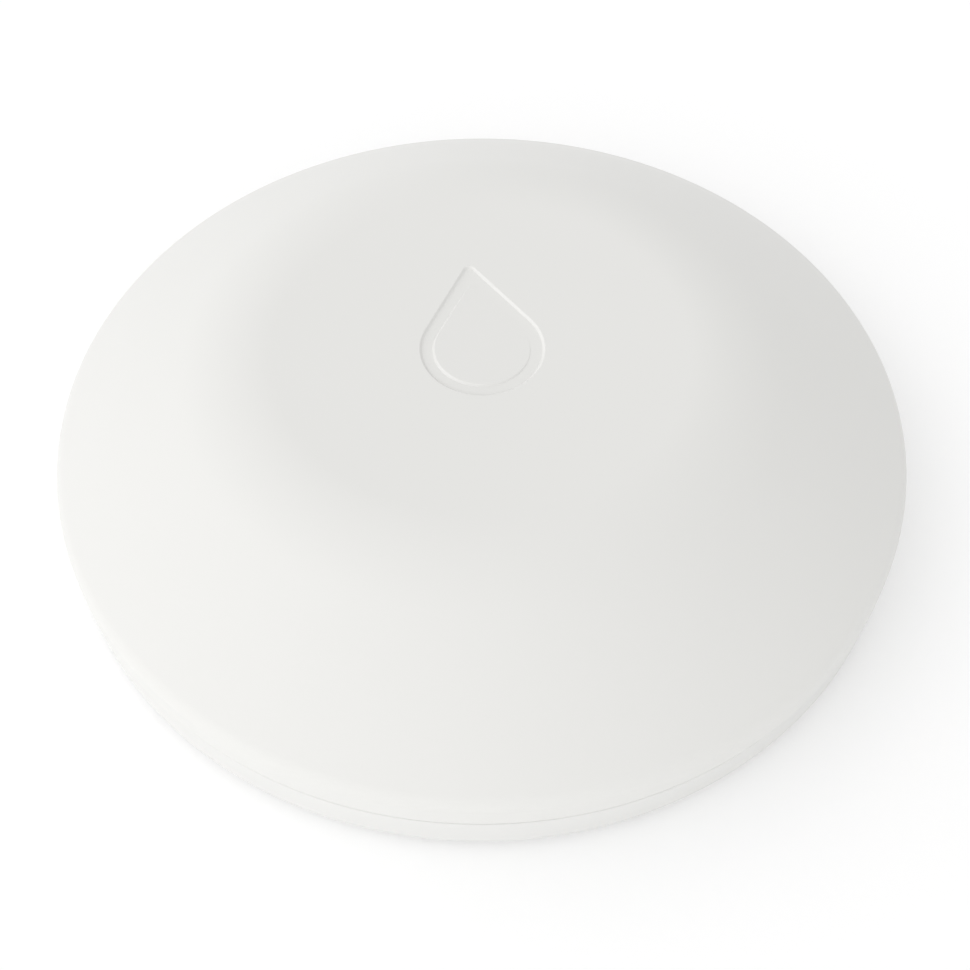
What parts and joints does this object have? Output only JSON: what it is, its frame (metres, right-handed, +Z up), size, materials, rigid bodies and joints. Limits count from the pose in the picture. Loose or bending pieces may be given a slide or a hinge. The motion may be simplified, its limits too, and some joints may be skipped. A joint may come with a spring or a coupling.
{
  "type": "water leak sensor",
  "caption": "Round white water leak sensor with a drop figure on its flat top, metal contact feet under it, and a coin-turned battery door and a push button in the underside.",
  "frame": {"origin": "on the floor, under the middle of the sensor", "axes": "Z up along the sensor's axis, +Y the way the drop's tip points, +X to its right"},
  "size_m": [0.08, 0.08, 0.0179],
  "materials": {
    "cover_plastic": "fine satin moulded white plastic",
    "base_plastic": "fine satin moulded white plastic",
    "button_plastic": "satin light grey plastic",
    "seal_rubber": "matte dark silicone rubber",
    "screw_steel": "zinc-plated steel",
    "foot_steel": "turned stainless steel",
    "post_brass": "turned brass",
    "cell_steel": "nickel-plated steel",
    "contact_metal": "plated spring bronze",
    "board_lacquer": "green board lacquer",
    "module_lacquer": "blue board lacquer",
    "shield_tin": "tinned sheet",
    "track_copper": "bare copper track",
    "chip_resin": "matte black resin",
    "coil_ferrite": "dark ferrite",
    "capacitor_resin": "yellow moulded resin",
    "chip_ceramic": "tan ceramic",
    "lamp_resin": "pale lamp resin",
    "guide_clear": "clear acrylic",
    "membrane_cloth": "black vent membrane"
  },
  "bodies": {
    "housing": {"top_cover": "cover_plastic", "base_shell": "base_plastic", "cover_gasket": "seal_rubber", "cover_screws": "screw_steel", "contact_feet": "foot_steel", "contact_seals": "seal_rubber", "contact_posts": "post_brass", "battery_cell": "cell_steel", "battery_clip": "contact_metal", "battery_leaf": "contact_metal", "circuit_board": "board_lacquer", "radio_board": "module_lacquer", "radio_shield": "shield_tin", "radio_antenna": "track_copper", "driver_chip": "chip_resin", "chip_leads": "shield_tin", "power_coil": "coil_ferrite", "storage_capacitor": "capacitor_resin", "chip_parts": "chip_ceramic", "status_led": "lamp_resin", "light_guide": "guide_clear", "buzzer_case": "chip_resin", "buzzer_disc": "post_brass", "buzzer_pins": "shield_tin", "sound_membrane": "membrane_cloth", "switch_case": "chip_resin"},
    "door": {"battery_door": "base_plastic", "door_seal": "seal_rubber"},
    "button": {"pairing_button": "button_plastic", "button_seal": "seal_rubber", "switch_plunger": "button_plastic"}
  },
  "joints": [
    {"name": "door_turn", "type": "hinge", "parent": "housing", "child": "door", "pos_m": [0, 0, 0], "axis": [0, 0, -1], "range_deg": [0, 45]},
    {"name": "button_press", "type": "slide", "parent": "housing", "child": "button", "axis": [0, 0, 1], "range_m": [0, 0.0004], "stiffness_N_per_m": 5000}
  ]
}
